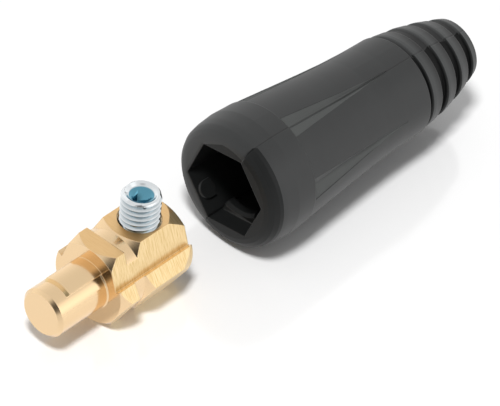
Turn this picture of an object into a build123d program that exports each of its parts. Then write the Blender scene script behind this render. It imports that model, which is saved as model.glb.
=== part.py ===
# Welding cable plug, shown taken apart: rubber insulating sleeve, brass plug contact and clamp screw.
# Millimetres, +Z up, both halves lie on the floor at Z = 0 and the contact's axis runs along X.
# Lengths of the contact count from the tip of its pin, lengths of the sleeve from its mouth.
from build123d import *
import math
import os

os.makedirs("parts", exist_ok=True)

# Contact: hexagonal bar
across_flats = 21.35
front_x = 15.93
body_end = 41.3
front_face_r = 10.7
front_cone_length = 2.45
rear_face_r = 10.6
rear_cone_length = 4.9
facet_step = 1.5
facet_edge = 1.9

# Contact: groove between flange and clamp block, with a bevel up to the block
flange_length = 5.2
groove_width = 3.5
groove_r = 10.45
block_bevel = 2.0

# Contact: pin and its locking cam
pin_r = 6.5
pin_chamfer = 0.9
root_step = 0.3
cam_start = 4.2
cam_ramp = 0.9
cam_height = 0.6
cam_middle = 92.0
cam_span = 66.0

# Contact: conductor bore
conductor_r = 5.25
conductor_depth = 19.0
conductor_mouth = 0.8
drill_angle = 59.0
drill_flat_r = 1.5

# Clamp screw, M10 with a hexagon socket
screw_x = 32.9
screw_r = 5.0
thread_gap = 0.05
screw_length = 12.0
screw_stand = 8.1
screw_top_chamfer = 0.6
screw_tip_step = 1.6
socket_af = 5.0
socket_depth = 5.0
socket_cone_r = 4.05
socket_cone_depth = 0.9
hole_cone = 0.5

# Sleeve: outside of nose, grip and barrel
mouth_r = 13.4
nose_round = 4.0
nose_r = 17.4
nose_length = 8.5
band_drop = 0.22
band_end = 14.5
panel_step = 0.15
grip_r = 14.95
grip_end = 36.0
barrel_r = 13.75
barrel_steps = 3
barrel_end = 60.4

# Sleeve: bend relief rings
ring_count = 4
ring_first = 61.8
ring_pitch = 6.5
ring_length = 3.95
ring_front_r = 13.4
ring_slope = 0.071
ring_curve = 0.0068
ring_round = 1.2
groove_shallow = 0.55
groove_deep = 1.6
parting_angle = 110.6
tail_round = 1.4

# Sleeve: inside
pocket_gap = 0.16
pocket_spare = 1.2
pocket_clock = 50.6
lug_r = 9.1
lug_start = 4.8
lug_width = 3.4
lug_ramp = 0.8
key_start = 0.6
key_half = 2.35
key_end = 4.8
key_height = 0.8
inner_r = 8.6
inner_end = 66.0
neck_length = 7.0
outlet_r = 5.75

# Sleeve: tapered flutes in the grip
flute_end = 51.4
flute_half = 10.3
flute_crease = 3.6
flute_depth = 1.05
flute_wall = 0.08
flute_tip = 0.04

# Place of the sleeve beside the contact
sleeve_place = (59.1, -4.02)
sleeve_yaw = -2.2
sleeve_rise = 0.6

axis_z = across_flats / 2
corner_r = across_flats / math.sqrt(3)
groove_x = front_x + flange_length
block_x = groove_x + groove_width
pocket_flats = across_flats + 2 * pocket_gap
ring_tail = ring_first + (ring_count - 1) * ring_pitch + ring_length


def polar(radius, degrees):
    """Point of the YZ plane at an angle counted from +Y towards +Z."""
    turn = math.radians(degrees)
    return (radius * math.cos(turn), radius * math.sin(turn))


def turned(points):
    """Solid of revolution about X from (x, radius) points."""
    outline = Polyline(*[(x, 0, r) for x, r in points], close=True)
    return revolve(make_face(outline), Axis.X)


def bar(points, start, length):
    """Prism along X from (y, z) points."""
    outline = Polyline(*[(start, y, z) for y, z in points], close=True)
    return extrude(make_face(outline), amount=length, dir=(1, 0, 0))


def hexagon(flats, clock=0.0):
    radius = flats / math.sqrt(3)
    return [polar(radius, clock + 60 * k) for k in range(6)]


# Brass contact

def contact_body():
    reach = corner_r + 0.2
    cone = (reach - front_face_r) / (corner_r - front_face_r) * front_cone_length
    slope = (reach - groove_r) / (corner_r - groove_r) * block_bevel
    tail = (reach - rear_face_r) / (corner_r - rear_face_r) * rear_cone_length
    outline = [
        (front_x, 0), (front_x, front_face_r), (front_x + cone, reach),
        (groove_x, reach), (groove_x, groove_r),
        (block_x, groove_r), (block_x + slope, reach),
        (body_end - tail, reach), (body_end, rear_face_r), (body_end, 0),
    ]
    return bar(hexagon(across_flats), front_x, body_end - front_x) & turned(outline)


def side_facet(side):
    """Wedge taken off the upper part of one sloping face, leaving a step above its lower edge."""
    nx, nz = polar(1, 30)
    tx, tz = nz, -nx
    half = corner_r / 2
    flat = across_flats / 2
    spots = [(flat, -half), (flat - facet_step, facet_edge), (flat + 2, facet_edge), (flat + 2, -half)]
    points = [(side * (nx * d + tx * w), nz * d + tz * w) for d, w in spots]
    return bar(points, front_x - 1, body_end - front_x + 2)


def pin():
    outline = [
        (0, 0), (0, pin_r - pin_chamfer), (pin_chamfer, pin_r),
        (front_x - root_step, pin_r), (front_x, pin_r + root_step),
        (front_x + 1, pin_r + root_step), (front_x + 1, 0),
    ]
    return turned(outline)


def locking_cam():
    top_r = pin_r + cam_height
    ring = turned([
        (cam_start, 0), (cam_start, pin_r - 0.1), (cam_start + cam_ramp, top_r),
        (front_x + 1, top_r), (front_x + 1, 0),
    ])
    low = cam_middle - cam_span / 2
    high = cam_middle + cam_span / 2
    wedge = [(0, 0), polar(2 * top_r, low), polar(2 * top_r, cam_middle), polar(2 * top_r, high)]
    return ring & bar(wedge, cam_start - 1, front_x - cam_start + 2)


def conductor_bore():
    bottom = body_end - conductor_depth
    point = (conductor_r - drill_flat_r) / math.tan(math.radians(drill_angle))
    return turned([
        (bottom - point, 0), (bottom - point, drill_flat_r), (bottom, conductor_r),
        (body_end - conductor_mouth, conductor_r),
        (body_end, conductor_r + conductor_mouth), (body_end + 1, conductor_r + conductor_mouth),
        (body_end + 1, 0),
    ])


def screw_hole():
    hole_r = screw_r + thread_gap
    depth = across_flats / 2
    shaft = Pos(screw_x, 0, 0) * Cylinder(hole_r, depth + 1, align=(Align.CENTER, Align.CENTER, Align.MIN))
    sink = Pos(screw_x, 0, depth - hole_cone) * Cone(
        hole_r, hole_r + hole_cone + 0.5, hole_cone + 0.5, align=(Align.CENTER, Align.CENTER, Align.MIN))
    return shaft + sink


def make_contact():
    body = contact_body() + pin() + locking_cam()
    for side in (-1, 1):
        body -= side_facet(side)
    body -= conductor_bore()
    body -= screw_hole()
    return Pos(0, 0, axis_z) * body


# Clamp screw

def make_screw():
    top = screw_length
    tip_r = screw_r - screw_tip_step
    rod = [
        (0, 0), (tip_r, 0), (screw_r, screw_tip_step), (screw_r, top - screw_top_chamfer),
        (screw_r - screw_top_chamfer, top), (0, top),
    ]
    solid = revolve(make_face(Polyline(*[(r, 0, z) for r, z in rod], close=True)), Axis.Z)
    socket = extrude(Plane.XY.offset(top - socket_depth) * RegularPolygon(
        socket_af / 2, 6, major_radius=False), amount=socket_depth + 1)
    floor_r = socket_cone_r - socket_cone_depth * 1.2
    sink = Pos(0, 0, top - socket_cone_depth) * Cone(
        floor_r, socket_cone_r, socket_cone_depth, align=(Align.CENTER, Align.CENTER, Align.MIN))
    solid = solid - socket - sink
    return Pos(screw_x, 0, axis_z + across_flats / 2 + screw_stand - screw_length) * solid


# Insulating sleeve

def barrel_radius(x):
    """The barrel leaves the grip's taper in a flat curve and ends as a plain round."""
    left = (barrel_end - x) / (barrel_end - grip_end)
    return barrel_r + (grip_r - barrel_r) * left * left


def ring_radius(x):
    along = x - ring_first
    return ring_front_r - ring_slope * along - ring_curve * along * along


def groove_spans():
    """Start and end of the groove in front of each bend relief ring."""
    spans = []
    start = barrel_end
    for k in range(ring_count):
        front = ring_first + k * ring_pitch
        spans.append((start, front))
        start = front + ring_length
    return spans


def sleeve_outside():
    spots = [(0, 0), (0, mouth_r)]
    for share in (0.25, 0.5, 0.75):
        turn = math.radians(90 * share)
        spots.append((nose_round * (1 - math.cos(turn)), mouth_r + (nose_r - 0.5 - mouth_r) * math.sin(turn)))
    spots.append((nose_round * 1.15, nose_r - 0.35))
    spots.append((nose_length, nose_r))
    spots.append((band_end, nose_r - band_drop))
    spots.append((band_end, nose_r - band_drop - panel_step))
    step = (barrel_end - grip_end) / barrel_steps
    spots += [(grip_end + step * k, barrel_radius(grip_end + step * k)) for k in range(barrel_steps)]
    spots.append((barrel_end, barrel_r))
    for start, front in groove_spans():
        floor = ring_radius(front) - groove_shallow
        spots.append((start, floor))
        spots.append((front, floor))
        spots.append((front + ring_round * 0.3, ring_radius(front) - groove_shallow * 0.25))
        spots.append((front + ring_round, ring_radius(front + ring_round)))
        back = front + ring_length
        if back < ring_tail:
            spots.append((back, ring_radius(back) - 0.1))
    spots.append((ring_tail - tail_round, ring_radius(ring_tail - tail_round)))
    spots.append((ring_tail, ring_radius(ring_tail) - tail_round))
    return turned(spots + [(ring_tail, 0)])


def deep_grooves():
    """Cuts that deepen the grooves on one side of the parting line, as their floors lie off the axis."""
    cuts = []
    shift = groove_deep - groove_shallow
    for start, front in groove_spans():
        floor = ring_radius(front) - groove_shallow
        disc = Rot(0, 90, 0) * Cylinder(nose_r, front - start)
        core = Rot(0, 90, 0) * Cylinder(floor, front - start)
        cuts.append(Pos((start + front) / 2, 0, 0) * (disc - Pos(0, 0, -shift) * core))
    return [Rot(parting_angle, 0, 0) * cut for cut in cuts]


def locking_lug():
    """Ledge on the lowest flat of the pocket, which snaps into the contact's groove."""
    end = lug_start + lug_width
    ledge = turned([
        (lug_start, pocket_flats), (lug_start, lug_r + lug_ramp), (lug_start + lug_ramp, lug_r),
        (end - lug_ramp, lug_r), (end, lug_r + lug_ramp), (end, pocket_flats),
    ])
    low = pocket_clock + 180
    sector = bar([(0, 0), polar(pocket_flats, low), polar(pocket_flats, low + 60)], 0, body_end)
    return ledge & sector


def round_key():
    """Low key with a half-round front end, on the flat beside the lug."""
    length = key_end - key_start - key_half
    depth = key_height + 1
    nose = Cylinder(key_half, depth)
    tail = Pos(length / 2, 0, 0) * Box(length, 2 * key_half, depth)
    place = Pos(key_start + key_half, 0, pocket_flats / 2 - key_height + depth / 2)
    return Rot(pocket_clock + 180, 0, 0) * place * (nose + tail)


def sleeve_pocket():
    """Hexagonal room for the contact, with the lug and the key left standing in it."""
    depth = body_end - front_x + pocket_spare
    room = bar(hexagon(pocket_flats, pocket_clock), -1, depth + 1)
    return room - locking_lug() - round_key()


def sleeve_inside():
    """Round bore behind the pocket, narrowing to the cable outlet."""
    front = body_end - front_x
    return turned([
        (front, 0), (front, inner_r), (inner_end, inner_r), (inner_end + neck_length, outlet_r),
        (ring_tail + 1, outlet_r), (ring_tail + 1, 0),
    ])


def flute():
    """Tapered flute lying on top: steep flank, crease, flat floor and a low wall."""
    def section(x, radius, deep, wide):
        half = wide * radius * math.sin(math.radians(flute_half))
        crease = wide * radius * math.sin(math.radians(flute_crease))
        edge = math.sqrt(radius * radius - half * half)
        points = [
            (x, half, edge - deep * flute_wall), (x, crease, radius - deep * flute_depth),
            (x, -half, edge - deep * flute_wall), (x, -half, radius + 1.5), (x, half, radius + 1.5),
        ]
        return make_face(Polyline(*points, close=True))
    left = (flute_end - grip_end) / (flute_end - band_end)
    front = section(band_end, nose_r - band_drop - panel_step, 1.0, 1.0)
    middle = section(grip_end, grip_r, 0.75, left)
    tip = section(flute_end, barrel_radius(flute_end), 0.2, flute_tip)
    return loft([front, middle, tip], ruled=True)


def make_sleeve():
    body = sleeve_outside()
    body -= deep_grooves()
    body -= sleeve_pocket()
    body -= sleeve_inside()
    cutter = flute()
    for k in range(6):
        body -= Rot(pocket_clock + 60 * k - 90, 0, 0) * cutter
    body = Rot(0, 0, sleeve_yaw) * Rot(0, -sleeve_rise, 0) * body
    return Pos(*sleeve_place, -body.bounding_box().min.Z) * body


pieces = {
    "sleeve": make_sleeve(),
    "contact": make_contact(),
    "clamp_screw": make_screw(),
}
boxes = [shape.bounding_box() for shape in pieces.values()]
middle_x = (min(b.min.X for b in boxes) + max(b.max.X for b in boxes)) / 2
middle_y = (min(b.min.Y for b in boxes) + max(b.max.Y for b in boxes)) / 2
for name, shape in pieces.items():
    export_step(Pos(-middle_x, -middle_y, 0) * shape, f"parts/{name}.step")
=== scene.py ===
import bpy
import math
from mathutils import Euler, Matrix, Vector


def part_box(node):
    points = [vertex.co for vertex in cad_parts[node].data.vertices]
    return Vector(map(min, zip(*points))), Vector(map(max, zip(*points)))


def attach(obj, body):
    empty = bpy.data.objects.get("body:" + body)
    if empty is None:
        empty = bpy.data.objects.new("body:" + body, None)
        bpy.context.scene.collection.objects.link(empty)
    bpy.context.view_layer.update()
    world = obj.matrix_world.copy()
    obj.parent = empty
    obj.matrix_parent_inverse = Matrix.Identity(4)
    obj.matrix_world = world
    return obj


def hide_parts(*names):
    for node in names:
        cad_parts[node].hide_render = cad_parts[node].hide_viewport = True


# Welding cable plug, taken apart: rubber sleeve, brass contact and clamp screw.
# Metres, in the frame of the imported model, whose origin is on the floor in the middle of the two halves.

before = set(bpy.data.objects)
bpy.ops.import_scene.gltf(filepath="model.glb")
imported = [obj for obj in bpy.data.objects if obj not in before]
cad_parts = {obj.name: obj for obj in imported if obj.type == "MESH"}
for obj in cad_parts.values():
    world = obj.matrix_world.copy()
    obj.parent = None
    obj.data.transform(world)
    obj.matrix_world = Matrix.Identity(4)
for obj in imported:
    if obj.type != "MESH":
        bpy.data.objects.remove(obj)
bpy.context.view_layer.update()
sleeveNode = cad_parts["sleeve"]
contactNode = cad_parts["contact"]
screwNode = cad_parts["clamp_screw"]

mm = 0.001
weld = 0.001 * mm  # points closer together than this are one point
contactLow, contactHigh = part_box("contact")
pinTip = contactLow.x  # lengths along the contact count from the tip of its pin
axisY = (contactLow.y + contactHigh.y) / 2
axisZ = (contactLow.z + contactHigh.z) / 2
print("frame loaded:", ", ".join(sorted(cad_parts)))


def toLinear(hexCode):
    channels = [int(hexCode[i:i + 2], 16) / 255 for i in (1, 3, 5)]
    return [c / 12.92 if c <= 0.04045 else ((c + 0.055) / 1.055) ** 2.4 for c in channels] + [1.0]


# One node with its settings, values and links. A socket goes by name, or by number where names repeat.
def addNode(tree, kind, settings=None, inputs=None):
    node = tree.nodes.new(kind)
    for name, value in (settings or {}).items():
        setattr(node, name, value)
    for name, value in (inputs or {}).items():
        if isinstance(value, bpy.types.NodeSocket):
            tree.links.new(value, node.inputs[name])
        else:
            node.inputs[name].default_value = value
    return node


def newMaterial(name):
    material = bpy.data.materials.new(name)
    material.use_nodes = True
    material.node_tree.nodes.clear()
    return material, material.node_tree


def dress(node, materials):  # a face's material_index counts through these
    node.data.materials.clear()
    for material in materials:
        node.data.materials.append(material)


def selectOnly(obj):
    bpy.ops.object.select_all(action="DESELECT")
    obj.select_set(True)
    bpy.context.view_layer.objects.active = obj


def placeInMesh(obj):  # object back to the origin, its place kept in its mesh
    selectOnly(obj)
    bpy.ops.object.transform_apply(location=True, rotation=True, scale=True)


# Sleeve: chloroprene rubber, compression moulded. The mould is blasted, coarser in the flutes, which come out
# greyer. Painted shade: the inside, and in one half the mouth's rim and the grooves of the rings, get a
# darker, less shiny colour for the shade that falls there. The grain is drawn coarser than the real one, to
# show from here.

rubber = {
    "matte": {"colour": "#232424", "mottle": "#2b2c2c", "specular": 0.5,
              "grainSize": 0.35 * mm, "depth": 0.012 * mm, "noseEdge": 1.4 * mm},
    "grained": {"colour": "#363837", "mottle": "#464847", "specular": 0.5,
                "grainSize": 0.5 * mm, "depth": 0.05 * mm, "noseEdge": 0.45 * mm},
    # painted shade: darker, less shiny rubber inside, and in one half round the mouth and in the ring grooves
    "paintedShade": {"colour": "#151616", "mottle": "#1d1e1e", "specular": 0.2,
             "grainSize": 0.35 * mm, "depth": 0.012 * mm, "noseEdge": 0.3 * mm},
    "roughness": 0.48,
    "grainStrength": 0.6,
    "mottleSize": 9.0 * mm,
    "mouth": (pinTip + 59.1 * mm, axisY - 4.02 * mm, 17.307 * mm),
    "turn": (0.0, math.radians(-0.6), math.radians(-2.2)),
    # how far back from the mouth the painted shade reaches
    "mouthRound": 3.6 * mm,
    "noseEnd": 6.2 * mm,
    "noseBlend": 0.6 * mm,
    "edge": 0.45 * mm,
    "seamAngle": 110.6,
    "seamWidth": 0.42 * mm,
    "seamDepth": 0.14 * mm,
    "seamShade": 0.6,
    "ringsFrom": 60.4 * mm,
    "ringFirst": 61.5 * mm,
    "ringPitch": 6.5 * mm,
    "ringFlank": 0.65 * mm,
    "ringBack": 4.2 * mm,
    # painted highlight on the rings' crests and painted shade in their grooves
    "crestRise": 0.7 * mm,
    "crestFall": (1.0 * mm, 4.6 * mm),
    "paintedCrestLight": (0.15, 2.05),
    "fluteStart": 14.6 * mm,
    "fluteEnd": 51.3 * mm,
    "fluteClock": 50.6,
    "fluteSpacing": 60.0,
    "fluteHalf": 11.0,
    "fluteLean": 8.0,
}


def seamLine(tree, look, local):  # -1 on the line where the mould halves met, 0 beside it
    turn = math.radians(look["seamAngle"])
    fromSeam = addNode(tree, "ShaderNodeVectorMath", {"operation": "DOT_PRODUCT"}, {
        0: local, 1: (0.0, -math.sin(turn), math.cos(turn))})
    away = addNode(tree, "ShaderNodeMath", {"operation": "ABSOLUTE"}, {0: fromSeam.outputs["Value"]})
    line = addNode(tree, "ShaderNodeMapRange", {"interpolation_type": "SMOOTHSTEP"}, {
        "Value": away.outputs["Value"], "From Min": 0.0, "From Max": look["seamWidth"],
        "To Min": -1.0, "To Max": 0.0})
    return line.outputs["Result"]


def paintedRingLight(tree, look, along):  # painted highlight on the rings' crests (over 1), painted shade in their grooves (under 1), 1 on the rest
    past = addNode(tree, "ShaderNodeMath", {"operation": "SUBTRACT"}, {0: along, 1: look["ringFirst"]})
    inRing = addNode(tree, "ShaderNodeMath", {"operation": "FLOORED_MODULO"}, {
        0: past.outputs["Value"], 1: look["ringPitch"]})
    rise = addNode(tree, "ShaderNodeMapRange", {"interpolation_type": "SMOOTHSTEP"}, {
        "Value": inRing.outputs["Value"], "From Min": 0.0, "From Max": look["crestRise"]})
    fall = addNode(tree, "ShaderNodeMapRange", {"interpolation_type": "SMOOTHSTEP"}, {
        "Value": inRing.outputs["Value"], "From Min": look["crestFall"][0],
        "From Max": look["crestFall"][1], "To Min": 1.0, "To Max": 0.0})
    crest = addNode(tree, "ShaderNodeMath", {"operation": "MULTIPLY"}, {
        0: rise.outputs["Result"], 1: fall.outputs["Result"]})
    toned = addNode(tree, "ShaderNodeMapRange", None, {
        "Value": crest.outputs["Value"], "To Min": look["paintedCrestLight"][0], "To Max": look["paintedCrestLight"][1]})
    onRings = addNode(tree, "ShaderNodeMath", {"operation": "GREATER_THAN"}, {0: along, 1: look["ringsFrom"]})
    tone = addNode(tree, "ShaderNodeMix", {"data_type": "FLOAT"}, {
        0: onRings.outputs["Value"], 2: 1.0, 3: toned.outputs["Result"]})
    return tone.outputs[0]


def mouldedRubber(look, name, finish):
    material, tree = newMaterial(name)
    place = addNode(tree, "ShaderNodeTexCoord")
    turned = addNode(tree, "ShaderNodeMapping", {"vector_type": "TEXTURE"}, {
        "Vector": place.outputs["Object"], "Location": look["mouth"], "Rotation": look["turn"]})
    local = turned.outputs["Vector"]  # along the sleeve from its mouth
    parts = addNode(tree, "ShaderNodeSeparateXYZ", None, {"Vector": local})
    along = parts.outputs["X"]
    mottle = addNode(tree, "ShaderNodeTexNoise", None, {
        "Vector": local, "Scale": 1 / look["mottleSize"], "Detail": 4.0})
    tone = addNode(tree, "ShaderNodeMix", {"data_type": "RGBA"}, {
        0: mottle.outputs["Fac"], 6: toLinear(finish["colour"]), 7: toLinear(finish["mottle"])})
    line = seamLine(tree, look, local)
    # painted shade and highlight of the rings, with the darker seam line
    shaded = addNode(tree, "ShaderNodeMath", {"operation": "MULTIPLY_ADD"}, {
        0: line, 1: look["seamShade"], 2: paintedRingLight(tree, look, along)})
    paintedLightTone = addNode(tree, "ShaderNodeHueSaturation", None, {
        "Value": shaded.outputs["Value"], "Color": tone.outputs[2]})
    soft = addNode(tree, "ShaderNodeMapRange", None, {
        "Value": along, "From Min": look["noseEnd"] - look["noseBlend"], "From Max": look["noseEnd"],
        "To Min": finish["noseEdge"], "To Max": look["edge"]})
    edge = addNode(tree, "ShaderNodeBevel", {"samples": 8}, {"Radius": soft.outputs["Result"]})
    seam = addNode(tree, "ShaderNodeBump", None, {
        "Height": line, "Distance": look["seamDepth"], "Strength": 1.0,
        "Normal": edge.outputs["Normal"]})
    grain = addNode(tree, "ShaderNodeTexNoise", None, {
        "Vector": local, "Scale": 1 / finish["grainSize"], "Detail": 3.0})
    bump = addNode(tree, "ShaderNodeBump", None, {
        "Height": grain.outputs["Fac"], "Distance": finish["depth"],
        "Strength": look["grainStrength"], "Normal": seam.outputs["Normal"]})
    shader = addNode(tree, "ShaderNodeBsdfPrincipled", None, {
        "Base Color": paintedLightTone.outputs["Color"], "Roughness": look["roughness"],
        "Specular IOR Level": finish["specular"], "Normal": bump.outputs["Normal"]})
    addNode(tree, "ShaderNodeOutputMaterial", None, {"Surface": shader.outputs["BSDF"]})
    return material


toMouth = (Matrix.Translation(rubber["mouth"]) @ Euler(rubber["turn"]).to_matrix().to_4x4()).inverted()


def isInside(spot, normal):  # true on faces that look at the sleeve's axis
    return Vector((0.0, spot.y, spot.z)).dot(normal) < 0


def isFlute(centre, normal, look):  # true on the slopes of the flutes, which lean against the grip
    spot = toMouth @ centre
    if not look["fluteStart"] < spot.x < look["fluteEnd"] or isInside(spot, normal):
        return False
    half = look["fluteSpacing"] / 2
    angle = math.degrees(math.atan2(spot.z, spot.y)) - look["fluteClock"]
    offset = (angle + half) % look["fluteSpacing"] - half
    outward = Vector((0.0, spot.y, spot.z)).normalized()
    facing = (toMouth.to_3x3() @ normal).normalized()
    lean = math.degrees(math.acos(max(-1.0, min(1.0, facing.dot(outward)))))
    return abs(offset) < look["fluteHalf"] and lean > look["fluteLean"]


# True where shade is painted: inside, and in one mould half also round the mouth and in the grooves of the
# rings.
def isPaintedShade(centre, normal, look):
    spot = toMouth @ centre
    turn = math.radians(look["seamAngle"])
    shadedHalf = spot.z * math.cos(turn) - spot.y * math.sin(turn) > 0
    inRing = (spot.x - look["ringFirst"]) % look["ringPitch"]
    inGroove = spot.x > look["ringsFrom"] and not look["ringFlank"] < inRing < look["ringBack"]
    return isInside(spot, normal) or shadedHalf and (spot.x < look["mouthRound"] or inGroove)


dress(sleeveNode, [
    mouldedRubber(rubber, "mouldedRubberMatte", rubber["matte"]),
    mouldedRubber(rubber, "mouldedRubberGrained", rubber["grained"]),
    mouldedRubber(rubber, "mouldedRubberPaintedShade", rubber["paintedShade"]),
])
for face in sleeveNode.data.polygons:
    grained = isFlute(face.center, face.normal, rubber)
    # painted shade inside, and in one half round the mouth and in the ring grooves
    paintedShade = isPaintedShade(face.center, face.normal, rubber)
    face.material_index = 1 if grained else 2 if paintedShade else 0
print("sleeve finished")


# Contact: free-cutting brass bar. Turned faces carry fine tool rings, the milled sides short strokes across
# the bar. Its top and bottom flats are left as drawn and almost smooth. Rings and strokes are drawn coarser
# than real ones, to show from here.

brass = {
    "turnedColour": "#eecfa4",
    "milled": {"colour": "#f4d9a8", "strokes": "#dcba7c", "depth": 0.012 * mm},
    "drawn": {"colour": "#f1ca92", "strokes": "#ebc289", "depth": 0.002 * mm},
    "turnedRoughness": 0.16,
    "milledRoughness": 0.36,
    "edge": 0.26 * mm,
    "ringPitch": 0.45 * mm,
    "ringDepth": 0.004 * mm,
    "strokeWidth": 0.2 * mm,
    "strokeStretch": 20.0,
    "strokeTone": (0.45, 0.65),
    "flatsAt": (10.675 * mm, 9.37 * mm, 1.9 * mm, 0.0),  # from the axis: flats, facets, steps, cam's ends
    "flatSpare": 0.07 * mm,
    "flatLean": 0.02,  # this and the other leans are shares of a face's normal
    "rampAt": (4.0 * mm, 5.5 * mm),
    "rampLean": -0.3,
    "coneAt": 36.0 * mm,
    "coneLean": (0.1, 0.5),
    "drawnLean": 0.3,
}


def turnedBrass(look):
    material, tree = newMaterial("turnedBrassBright")
    place = addNode(tree, "ShaderNodeTexCoord")
    local = addNode(tree, "ShaderNodeVectorMath", {"operation": "SUBTRACT"}, {
        0: place.outputs["Object"], 1: (pinTip, axisY, axisZ)})
    across = addNode(tree, "ShaderNodeVectorMath", {"operation": "MULTIPLY"}, {
        0: local.outputs["Vector"], 1: (0.0, 1.0, 1.0)})
    radius = addNode(tree, "ShaderNodeVectorMath", {"operation": "LENGTH"}, {0: across.outputs["Vector"]})
    parts = addNode(tree, "ShaderNodeSeparateXYZ", None, {"Vector": local.outputs["Vector"]})
    path = addNode(tree, "ShaderNodeMath", {"operation": "ADD"}, {
        0: parts.outputs["X"], 1: radius.outputs["Value"]})  # the tool goes along the bar, or across its ends
    rings = addNode(tree, "ShaderNodeTexNoise", {"noise_dimensions": "1D"}, {
        "W": path.outputs["Value"], "Scale": 1 / look["ringPitch"], "Detail": 5.0,
        "Roughness": 0.7})
    edge = addNode(tree, "ShaderNodeBevel", {"samples": 6}, {"Radius": look["edge"]})
    bump = addNode(tree, "ShaderNodeBump", None, {
        "Height": rings.outputs["Fac"], "Distance": look["ringDepth"], "Strength": 1.0,
        "Normal": edge.outputs["Normal"]})
    shader = addNode(tree, "ShaderNodeBsdfPrincipled", None, {
        "Base Color": toLinear(look["turnedColour"]), "Metallic": 1.0,
        "Roughness": look["turnedRoughness"], "Normal": bump.outputs["Normal"]})
    addNode(tree, "ShaderNodeOutputMaterial", None, {"Surface": shader.outputs["BSDF"]})
    return material


def milledBrass(look, name, finish):
    material, tree = newMaterial(name)
    place = addNode(tree, "ShaderNodeTexCoord")
    thin = 1 / look["strokeStretch"]
    stretched = addNode(tree, "ShaderNodeMapping", None, {
        "Vector": place.outputs["Object"], "Scale": (1.0, thin, thin)})
    strokes = addNode(tree, "ShaderNodeTexNoise", None, {
        "Vector": stretched.outputs["Vector"], "Scale": 1 / look["strokeWidth"], "Detail": 6.0,
        "Roughness": 0.65})
    streak = addNode(tree, "ShaderNodeMapRange", None, {
        "Value": strokes.outputs["Fac"], "From Min": look["strokeTone"][0],
        "From Max": look["strokeTone"][1]})
    tone = addNode(tree, "ShaderNodeMix", {"data_type": "RGBA"}, {
        0: streak.outputs["Result"], 6: toLinear(finish["colour"]), 7: toLinear(finish["strokes"])})
    edge = addNode(tree, "ShaderNodeBevel", {"samples": 6}, {"Radius": look["edge"]})
    bump = addNode(tree, "ShaderNodeBump", None, {
        "Height": strokes.outputs["Fac"], "Distance": finish["depth"], "Strength": 1.0,
        "Normal": edge.outputs["Normal"]})
    shader = addNode(tree, "ShaderNodeBsdfPrincipled", None, {
        "Base Color": tone.outputs[2], "Metallic": 1.0,
        "Roughness": look["milledRoughness"], "Normal": bump.outputs["Normal"]})
    addNode(tree, "ShaderNodeOutputMaterial", None, {"Surface": shader.outputs["BSDF"]})
    return material


# True on the bar's flats, facets and steps, its rear cone, and the cam's ends and ramp.
def isMilled(centre, normal, look):
    fromAxis = (centre.y - axisY) * normal.y + (centre.z - axisZ) * normal.z
    along = centre.x - pinTip
    atFlat = any(abs(fromAxis - flat) < look["flatSpare"] for flat in look["flatsAt"])
    onFlat = abs(normal.x) < look["flatLean"] and atFlat
    onRamp = normal.x < look["rampLean"] and look["rampAt"][0] < along < look["rampAt"][1]
    onCone = along > look["coneAt"] and look["coneLean"][0] < normal.x < look["coneLean"][1]
    return onFlat or onRamp or onCone


dress(contactNode, [
    turnedBrass(brass),
    milledBrass(brass, "milledBrassSides", brass["milled"]),
    milledBrass(brass, "drawnBrassFlats", brass["drawn"]),
])
for face in contactNode.data.polygons:
    milled = isMilled(face.center, face.normal, brass)
    drawn = milled and abs(face.normal.y) < brass["drawnLean"]
    face.material_index = 2 if drawn else 1 if milled else 0
print("contact finished")


# Clamp screw: steel, thread rolled and zinc plated. The plating is bright, with painted shade greying the
# roots of the thread, and a bluish passivation in the socket.

screw = {
    "threads": 10,
    "pitch": 1.5 * mm,
    "crest": 5.02 * mm,
    "root": 4.1 * mm,
    "tooth": [(0.0, 0.22), (0.86, 0.30), (0.14, 0.07), (-0.14, 0.07), (-0.86, 0.34)],
    "startBelow": 1.5,  # pitches under the tip
    "steps": 64,
    "smoothAngle": 28,
    "colour": "#e6eaec",
    # painted shade in the roots of the thread
    "paintedRootShade": "#98a7ae",
    "socketColour": "#619bb0",
    "roughness": 0.1,
    "socketRadius": 2.95 * mm,
    "socketBlend": 0.3 * mm,
    "plainTop": 1.3 * mm,
}
screwLow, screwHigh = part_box("clamp_screw")
screwX = (screwLow.x + screwHigh.x) / 2
screwY = (screwLow.y + screwHigh.y) / 2


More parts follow.
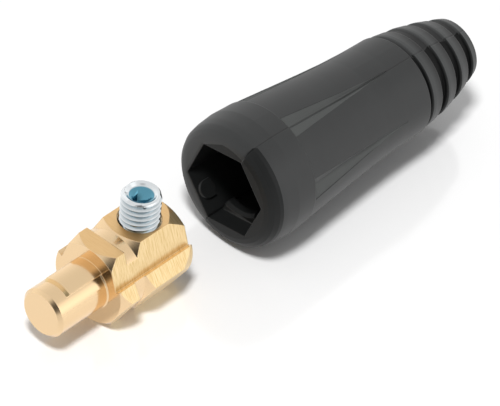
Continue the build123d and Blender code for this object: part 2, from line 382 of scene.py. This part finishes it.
def threadedRod(size):  # one tooth's outline swept up the helix and closed at both ends
    bpy.ops.object.select_all(action="DESELECT")
    bpy.ops.mesh.primitive_plane_add(size=mm, location=(0, 0, 0))
    rod = bpy.context.object
    rod.name = "clampScrewThread"
    bpy.ops.object.mode_set(mode="EDIT")
    bpy.ops.mesh.select_all(action="SELECT")
    bpy.ops.mesh.merge(type="CENTER")
    bpy.ops.transform.translate(value=(size["root"], 0, 0))
    pitch, depth = size["pitch"], size["crest"] - size["root"]
    for out, up in size["tooth"]:  # shares of the thread's depth and pitch
        bpy.ops.mesh.extrude_vertices_move(TRANSFORM_OT_translate={"value": (out * depth, 0, up * pitch)})
    bpy.ops.object.mode_set(mode="OBJECT")
    helix = rod.modifiers.new("helix", "SCREW")
    helix.axis = "Z"
    helix.angle = 2 * math.pi
    helix.screw_offset = pitch
    helix.iterations = size["threads"]
    helix.steps = helix.render_steps = size["steps"]
    helix.use_merge_vertices = True
    helix.merge_threshold = weld
    bpy.ops.object.modifier_apply(modifier="helix")
    bpy.ops.object.mode_set(mode="EDIT")
    bpy.ops.mesh.select_all(action="SELECT")
    bpy.ops.mesh.remove_doubles(threshold=weld)
    bpy.ops.mesh.fill_holes(sides=0)
    bpy.ops.mesh.select_all(action="DESELECT")
    bpy.ops.mesh.select_mode(type="FACE")
    bpy.ops.mesh.select_face_by_sides(number=4, type="GREATER")
    bpy.ops.mesh.poke()
    bpy.ops.mesh.select_all(action="SELECT")
    bpy.ops.mesh.normals_make_consistent(inside=False)
    bpy.ops.object.mode_set(mode="OBJECT")
    rod.location = (screwX, screwY, screwLow.z - size["startBelow"] * pitch)
    placeInMesh(rod)
    return rod


def blankRod():  # merged copy of the plain screw, which gives the ends and the socket
    blank = screwNode.copy()
    blank.data = screwNode.data.copy()
    blank.parent = None
    for key in [k for k in blank.keys() if k.startswith("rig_")]:
        del blank[key]
    bpy.context.scene.collection.objects.link(blank)
    selectOnly(blank)
    bpy.ops.object.mode_set(mode="EDIT")
    bpy.ops.mesh.select_all(action="SELECT")
    bpy.ops.mesh.remove_doubles(threshold=weld)
    bpy.ops.object.mode_set(mode="OBJECT")
    return blank


def trimRod(rod, blank):
    selectOnly(rod)
    ends = rod.modifiers.new("ends", "BOOLEAN")
    ends.operation = "INTERSECT"
    ends.solver = "EXACT"
    ends.object = blank
    bpy.ops.object.modifier_apply(modifier="ends")
    bpy.data.objects.remove(blank)


def zincPlate(look):
    material, tree = newMaterial("zincPlatedSteel")
    place = addNode(tree, "ShaderNodeTexCoord")
    local = addNode(tree, "ShaderNodeVectorMath", {"operation": "SUBTRACT"}, {
        0: place.outputs["Object"], 1: (screwX, screwY, 0.0)})
    across = addNode(tree, "ShaderNodeVectorMath", {"operation": "MULTIPLY"}, {
        0: local.outputs["Vector"], 1: (1.0, 1.0, 0.0)})
    radius = addNode(tree, "ShaderNodeVectorMath", {"operation": "LENGTH"}, {0: across.outputs["Vector"]})
    inside = addNode(tree, "ShaderNodeMapRange", {"interpolation_type": "SMOOTHSTEP"}, {
        "Value": radius.outputs["Value"], "From Min": look["socketRadius"],
        "From Max": look["socketRadius"] + look["socketBlend"], "To Min": 1.0, "To Max": 0.0})
    parts = addNode(tree, "ShaderNodeSeparateXYZ", None, {"Vector": place.outputs["Object"]})
    rim = addNode(tree, "ShaderNodeMath", {"operation": "GREATER_THAN"}, {
        0: parts.outputs["Z"], 1: screwHigh.z - look["plainTop"]})
    crest = addNode(tree, "ShaderNodeMapRange", None, {
        "Value": radius.outputs["Value"], "From Min": look["root"], "From Max": look["crest"]})
    bright = addNode(tree, "ShaderNodeMath", {"operation": "MAXIMUM"}, {
        0: rim.outputs["Value"], 1: crest.outputs["Result"]})
    # painted shade: greyer towards the roots of the thread, plain bright plating on the crests and the top
    platedAndShaded = addNode(tree, "ShaderNodeMix", {"data_type": "RGBA"}, {
        0: bright.outputs["Value"], 6: toLinear(look["paintedRootShade"]), 7: toLinear(look["colour"])})
    colour = addNode(tree, "ShaderNodeMix", {"data_type": "RGBA"}, {
        0: inside.outputs["Result"], 6: platedAndShaded.outputs[2], 7: toLinear(look["socketColour"])})
    shader = addNode(tree, "ShaderNodeBsdfPrincipled", None, {
        "Base Color": colour.outputs[2], "Metallic": 1.0, "Roughness": look["roughness"]})
    addNode(tree, "ShaderNodeOutputMaterial", None, {"Surface": shader.outputs["BSDF"]})
    return material


clampScrew = threadedRod(screw)
trimRod(clampScrew, blankRod())
bpy.ops.object.shade_smooth_by_angle(angle=math.radians(screw["smoothAngle"]))
dress(clampScrew, [zincPlate(screw)])
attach(clampScrew, "screw")
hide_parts("clamp_screw")
print("clamp screw finished:", len(clampScrew.data.polygons), "faces")


# Stage: pale glossy table top under a bright room. The room behind the camera is dim, which darkens what the
# polished faces mirror from there.

stage = {
    "floorColour": "#fefefe",
    "floorRoughness": 0.13,
    "floorIor": 1.9,
    "floorMirrored": 0.4,
    "floorSize": 3.0,
    "roomLight": 0.36,
    "horizonLight": 1.12,
    "zenithLight": 0.85,
    "zenithFrom": 0.9,
    "dimLight": 0.04,
    "dimTowards": (-0.68, -0.53, 0.5),
    "dimEdge": 0.78,
    "cardLight": 0.62,
    "cardTowards": (0.22, -0.88, 0.42),
    "cardEdge": 0.82,
    "keyPower": 38.0,
    "keySize": 0.4,
    "keyPlace": (-0.75, -0.36, 2.02),
}


def paleFloor(look):  # faces that mirror the table see a part of it as plain white
    material, tree = newMaterial("paleTableTop")
    shader = addNode(tree, "ShaderNodeBsdfPrincipled", None, {
        "Base Color": toLinear(look["floorColour"]), "Roughness": look["floorRoughness"],
        "IOR": look["floorIor"]})
    white = addNode(tree, "ShaderNodeEmission", None, {"Strength": 1.0})
    rays = addNode(tree, "ShaderNodeLightPath")
    share = addNode(tree, "ShaderNodeMath", {"operation": "MULTIPLY"}, {
        0: rays.outputs["Is Glossy Ray"], 1: look["floorMirrored"]})
    seen = addNode(tree, "ShaderNodeMixShader", None, {
        0: share.outputs["Value"], 1: shader.outputs["BSDF"], 2: white.outputs["Emission"]})
    addNode(tree, "ShaderNodeOutputMaterial", None, {"Surface": seen.outputs["Shader"]})
    return material


def tableTop(look):
    bpy.ops.object.select_all(action="DESELECT")
    bpy.ops.mesh.primitive_plane_add(size=look["floorSize"], location=(0, 0, 0))
    top = bpy.context.object
    top.name = "tableTop"
    dress(top, [paleFloor(look)])
    return top


def softBox(name, place, size, power):
    lamp = bpy.data.lights.new(name, "AREA")
    lamp.shape = "SQUARE"
    lamp.size = size
    lamp.energy = power
    box = bpy.data.objects.new(name, lamp)
    bpy.context.scene.collection.objects.link(box)
    box.location = place
    box.rotation_euler = (-Vector(place)).to_track_quat("-Z", "Y").to_euler()
    box.visible_glossy = False  # polished faces mirror the room only


# Camera rays see white, mirrored rays a room with a white card at the right and a dim side.
def brightRoom(look):
    world = bpy.data.worlds.new("brightRoom")
    world.use_nodes = True
    tree = world.node_tree
    tree.nodes.clear()
    rays = addNode(tree, "ShaderNodeLightPath")
    place = addNode(tree, "ShaderNodeTexCoord")
    parts = addNode(tree, "ShaderNodeSeparateXYZ", None, {"Vector": place.outputs["Generated"]})
    height = addNode(tree, "ShaderNodeMapRange", {"interpolation_type": "SMOOTHSTEP"}, {
        "Value": parts.outputs["Z"], "From Min": 0.0, "From Max": look["zenithFrom"],
        "To Min": look["horizonLight"], "To Max": look["zenithLight"]})
    side = addNode(tree, "ShaderNodeVectorMath", {"operation": "DOT_PRODUCT"}, {
        0: place.outputs["Generated"], 1: look["dimTowards"]})
    dim = addNode(tree, "ShaderNodeMapRange", {"interpolation_type": "SMOOTHSTEP"}, {
        "Value": side.outputs["Value"], "From Min": look["dimEdge"], "From Max": 1.0,
        "To Min": 1.0, "To Max": look["dimLight"]})
    facing = addNode(tree, "ShaderNodeVectorMath", {"operation": "DOT_PRODUCT"}, {
        0: place.outputs["Generated"], 1: look["cardTowards"]})
    card = addNode(tree, "ShaderNodeMapRange", {"interpolation_type": "SMOOTHSTEP"}, {
        "Value": facing.outputs["Value"], "From Min": look["cardEdge"], "From Max": 1.0,
        "To Min": 0.0, "To Max": look["cardLight"]})
    room = addNode(tree, "ShaderNodeMath", {"operation": "MULTIPLY"}, {
        0: height.outputs["Result"], 1: dim.outputs["Result"]})
    mirrored = addNode(tree, "ShaderNodeMath", {"operation": "ADD"}, {
        0: room.outputs["Value"], 1: card.outputs["Result"]})
    even = addNode(tree, "ShaderNodeMix", {"data_type": "FLOAT"}, {
        0: rays.outputs["Is Glossy Ray"], 2: look["roomLight"], 3: mirrored.outputs["Value"]})
    seen = addNode(tree, "ShaderNodeMath", {"operation": "MAXIMUM"}, {
        0: rays.outputs["Is Camera Ray"], 1: rays.outputs["Is Transmission Ray"]})
    level = addNode(tree, "ShaderNodeMix", {"data_type": "FLOAT"}, {
        0: seen.outputs["Value"], 2: even.outputs[0], 3: 1.0})
    light = addNode(tree, "ShaderNodeBackground", None, {
        "Color": (1, 1, 1, 1), "Strength": level.outputs[0]})
    addNode(tree, "ShaderNodeOutputWorld", None, {"Surface": light.outputs["Background"]})
    return world


floor = tableTop(stage)
softBox("keyLight", stage["keyPlace"], stage["keySize"], stage["keyPower"])
bpy.context.scene.world = brightRoom(stage)
bpy.context.scene.view_settings.view_transform = "Standard"
print("stage set")


# Camera: long lens, looking down over the pin towards the sleeve, held a little askew. Angles are in radians.

view = {
    "focalPixels": 3561.8,
    "imageWidth": 500,
    "sensor": 36.0,
    "clip": (0.01, 20.0),
    "heading": 0.6578,
    "down": 0.7127,
    "roll": 0.1119,
    "distance": 890.5 * mm,
    "target": (pinTip + 75.4645 * mm, axisY + 0.2437 * mm, 0.676 * mm),
}


def placeCamera(look):
    data = bpy.data.cameras.new("photoCamera")
    data.sensor_width = look["sensor"]
    data.lens = look["focalPixels"] * look["sensor"] / look["imageWidth"]
    data.clip_start, data.clip_end = look["clip"]
    camera = bpy.data.objects.new("photoCamera", data)
    bpy.context.scene.collection.objects.link(camera)
    heading, down, roll = look["heading"], look["down"], look["roll"]
    level = math.cos(down)
    forward = Vector((math.cos(heading) * level, math.sin(heading) * level, -math.sin(down)))
    right = forward.cross(Vector((0, 0, 1))).normalized()
    up = right.cross(forward)
    right, up = right * math.cos(roll) + up * math.sin(roll), up * math.cos(roll) - right * math.sin(roll)
    turn = Matrix((right, up, -forward)).transposed().to_4x4()
    camera.matrix_world = Matrix.Translation(Vector(look["target"]) - forward * look["distance"]) @ turn
    bpy.context.scene.camera = camera


placeCamera(view)
bpy.context.view_layer.update()
print("camera placed")
